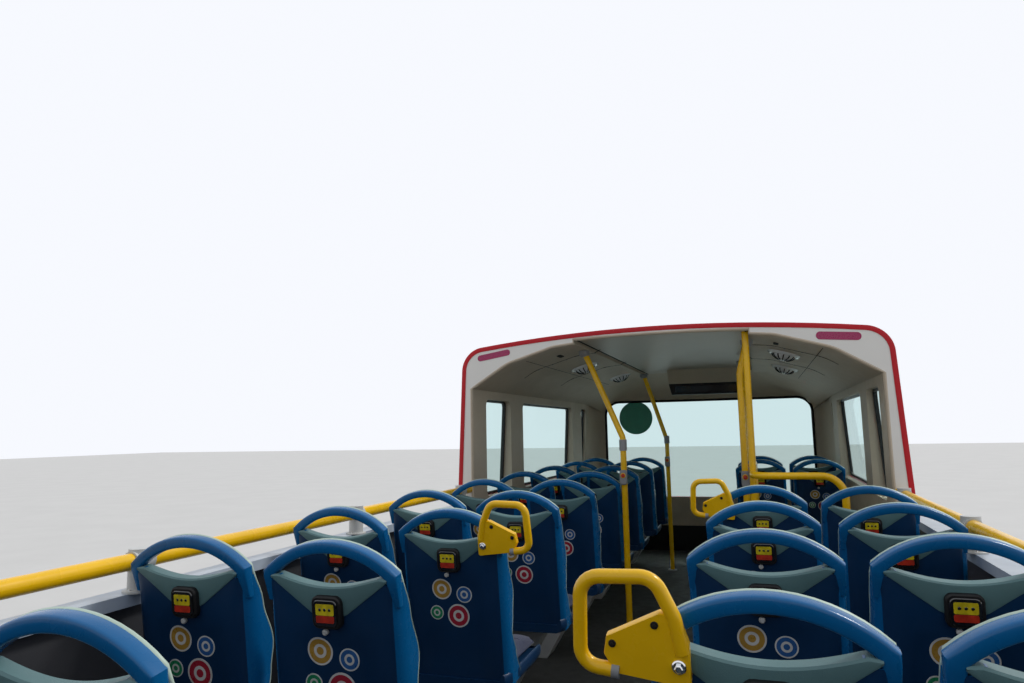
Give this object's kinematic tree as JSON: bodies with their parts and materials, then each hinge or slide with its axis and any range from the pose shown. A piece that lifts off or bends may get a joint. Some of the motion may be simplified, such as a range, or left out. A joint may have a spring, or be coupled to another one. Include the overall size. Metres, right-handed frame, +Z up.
{
  "type": "open-top double-decker bus",
  "caption": "Two-deck sightseeing bus with an open upper deck, a part canopy over the front seats, moulded seats, steered front wheels, twin rear wheels and opening doors.",
  "frame": {"origin": "on the ground, halfway along and across the bus", "axes": "+X towards the front of the bus, +Y towards its left (kerb) side, +Z up"},
  "size_m": [10.4, 2.9, 4.25],
  "materials": {
    "white_paint": "gloss",
    "red_paint": "gloss",
    "cream_lining": "satin",
    "glass": "gloss",
    "lamp_glass": "gloss",
    "black_plastic": "matte",
    "grey_plastic": "matte",
    "seat_blue": "gloss",
    "hoop_blue": "gloss",
    "seat_sage": "satin",
    "seat_pad": "matte",
    "pale_metal": "satin",
    "rail_yellow": "gloss",
    "floor_vinyl": "matte",
    "chassis_black": "satin",
    "axle_iron": "matte",
    "wheel_silver": "satin",
    "tyre": "matte",
    "spring_rubber": "matte",
    "engine_grey": "matte",
    "stair_yellow": "satin"
  },
  "bodies": {
    "root": {"side_walls": "red_paint", "front_panel": "red_paint", "rear_panel": "red_paint", "bumpers": "black_plastic", "lamps": "lamp_glass", "upper_side_walls": "red_paint", "upper_rear_wall": "red_paint", "canopy_sides": "red_paint", "canopy_front": "red_paint", "canopy_rim": "white_paint", "canopy_roof": "red_paint", "destination_panel": "black_plastic", "side_glazing": "glass", "windscreens": "glass", "canopy_lining": "cream_lining", "canopy_ceiling": "white_paint", "upper_floor": "floor_vinyl", "lower_floor": "floor_vinyl", "wheelhouses": "floor_vinyl", "chassis_frame": "chassis_black", "cross_members": "chassis_black", "tow_sockets": "chassis_black", "front_axle": "axle_iron", "rear_axle": "axle_iron", "air_springs": "spring_rubber", "engine_block": "engine_grey", "cab_partition": "cream_lining", "driver_controls": "black_plastic", "driver_seat": "seat_pad", "staircase": "stair_yellow", "seat_hoops": "hoop_blue", "seat_backs": "seat_blue", "seat_inserts": "seat_sage", "seat_control_boxes": "black_plastic", "seat_pans": "seat_blue", "seat_pads": "seat_pad", "seat_legs": "pale_metal", "corner_handles": "rail_yellow", "side_rails": "rail_yellow", "rail_posts": "pale_metal", "stair_guard": "rail_yellow", "poles": "rail_yellow", "mirrors": "black_plastic", "ceiling_housing": "black_plastic"},
    "steering_knuckle_left": {"knuckle_left": "axle_iron"},
    "steering_knuckle_right": {"knuckle_right": "axle_iron"},
    "front_wheel_left": {"wheel_front_left": "wheel_silver", "tyre_front_left": "tyre"},
    "front_wheel_right": {"wheel_front_right": "wheel_silver", "tyre_front_right": "tyre"},
    "rear_wheels_left": {"wheels_rear_left": "wheel_silver", "tyres_rear_left": "tyre"},
    "rear_wheels_right": {"wheels_rear_right": "wheel_silver", "tyres_rear_right": "tyre"},
    "entrance_leaf_front": {"door_leaf_front": "red_paint", "door_glass_front": "glass"},
    "entrance_leaf_rear": {"door_leaf_rear": "red_paint", "door_glass_rear": "glass"},
    "engine_cover": {"engine_cover": "red_paint"},
    "cab_door": {"cab_door": "grey_plastic"}
  },
  "joints": [
    {"name": "steer_left", "type": "hinge", "parent": "root", "child": "steering_knuckle_left", "pos_m": [2.55, 0.905, 0.478], "axis": [0, 0, 1], "range_deg": [-38, 38]},
    {"name": "steer_right", "type": "hinge", "parent": "root", "child": "steering_knuckle_right", "pos_m": [2.55, -0.905, 0.478], "axis": [0, 0, 1], "range_deg": [-38, 38]},
    {"name": "spin_front_left", "type": "hinge", "parent": "steering_knuckle_left", "child": "front_wheel_left", "pos_m": [2.55, 1.093, 0.478], "axis": [0, 1, 0], "continuous": true},
    {"name": "spin_front_right", "type": "hinge", "parent": "steering_knuckle_right", "child": "front_wheel_right", "pos_m": [2.55, -1.093, 0.478], "axis": [0, 1, 0], "continuous": true},
    {"name": "spin_rear_left", "type": "hinge", "parent": "root", "child": "rear_wheels_left", "pos_m": [-3.05, 0.933, 0.478], "axis": [0, 1, 0], "continuous": true},
    {"name": "spin_rear_right", "type": "hinge", "parent": "root", "child": "rear_wheels_right", "pos_m": [-3.05, -0.933, 0.478], "axis": [0, 1, 0], "continuous": true},
    {"name": "entrance_front_swing", "type": "hinge", "parent": "root", "child": "entrance_leaf_front", "pos_m": [4.569, 1.206, 1.236], "axis": [0, 0, 1], "range_deg": [0, 88]},
    {"name": "entrance_rear_swing", "type": "hinge", "parent": "root", "child": "entrance_leaf_rear", "pos_m": [3.511, 1.206, 1.236], "axis": [0, 0, -1], "range_deg": [0, 88]},
    {"name": "engine_cover_lift", "type": "hinge", "parent": "root", "child": "engine_cover", "pos_m": [-5.2, 0, 1.417], "axis": [0, 1, 0], "range_deg": [0, 80]},
    {"name": "cab_door_swing", "type": "hinge", "parent": "root", "child": "cab_door", "pos_m": [3.535, -0.425, 0.92], "axis": [0, 0, 1], "range_deg": [0, 90]}
  ],
  "couplings": [
    {"joint": "steer_right", "follows": "steer_left", "ratio": 1}
  ]
}
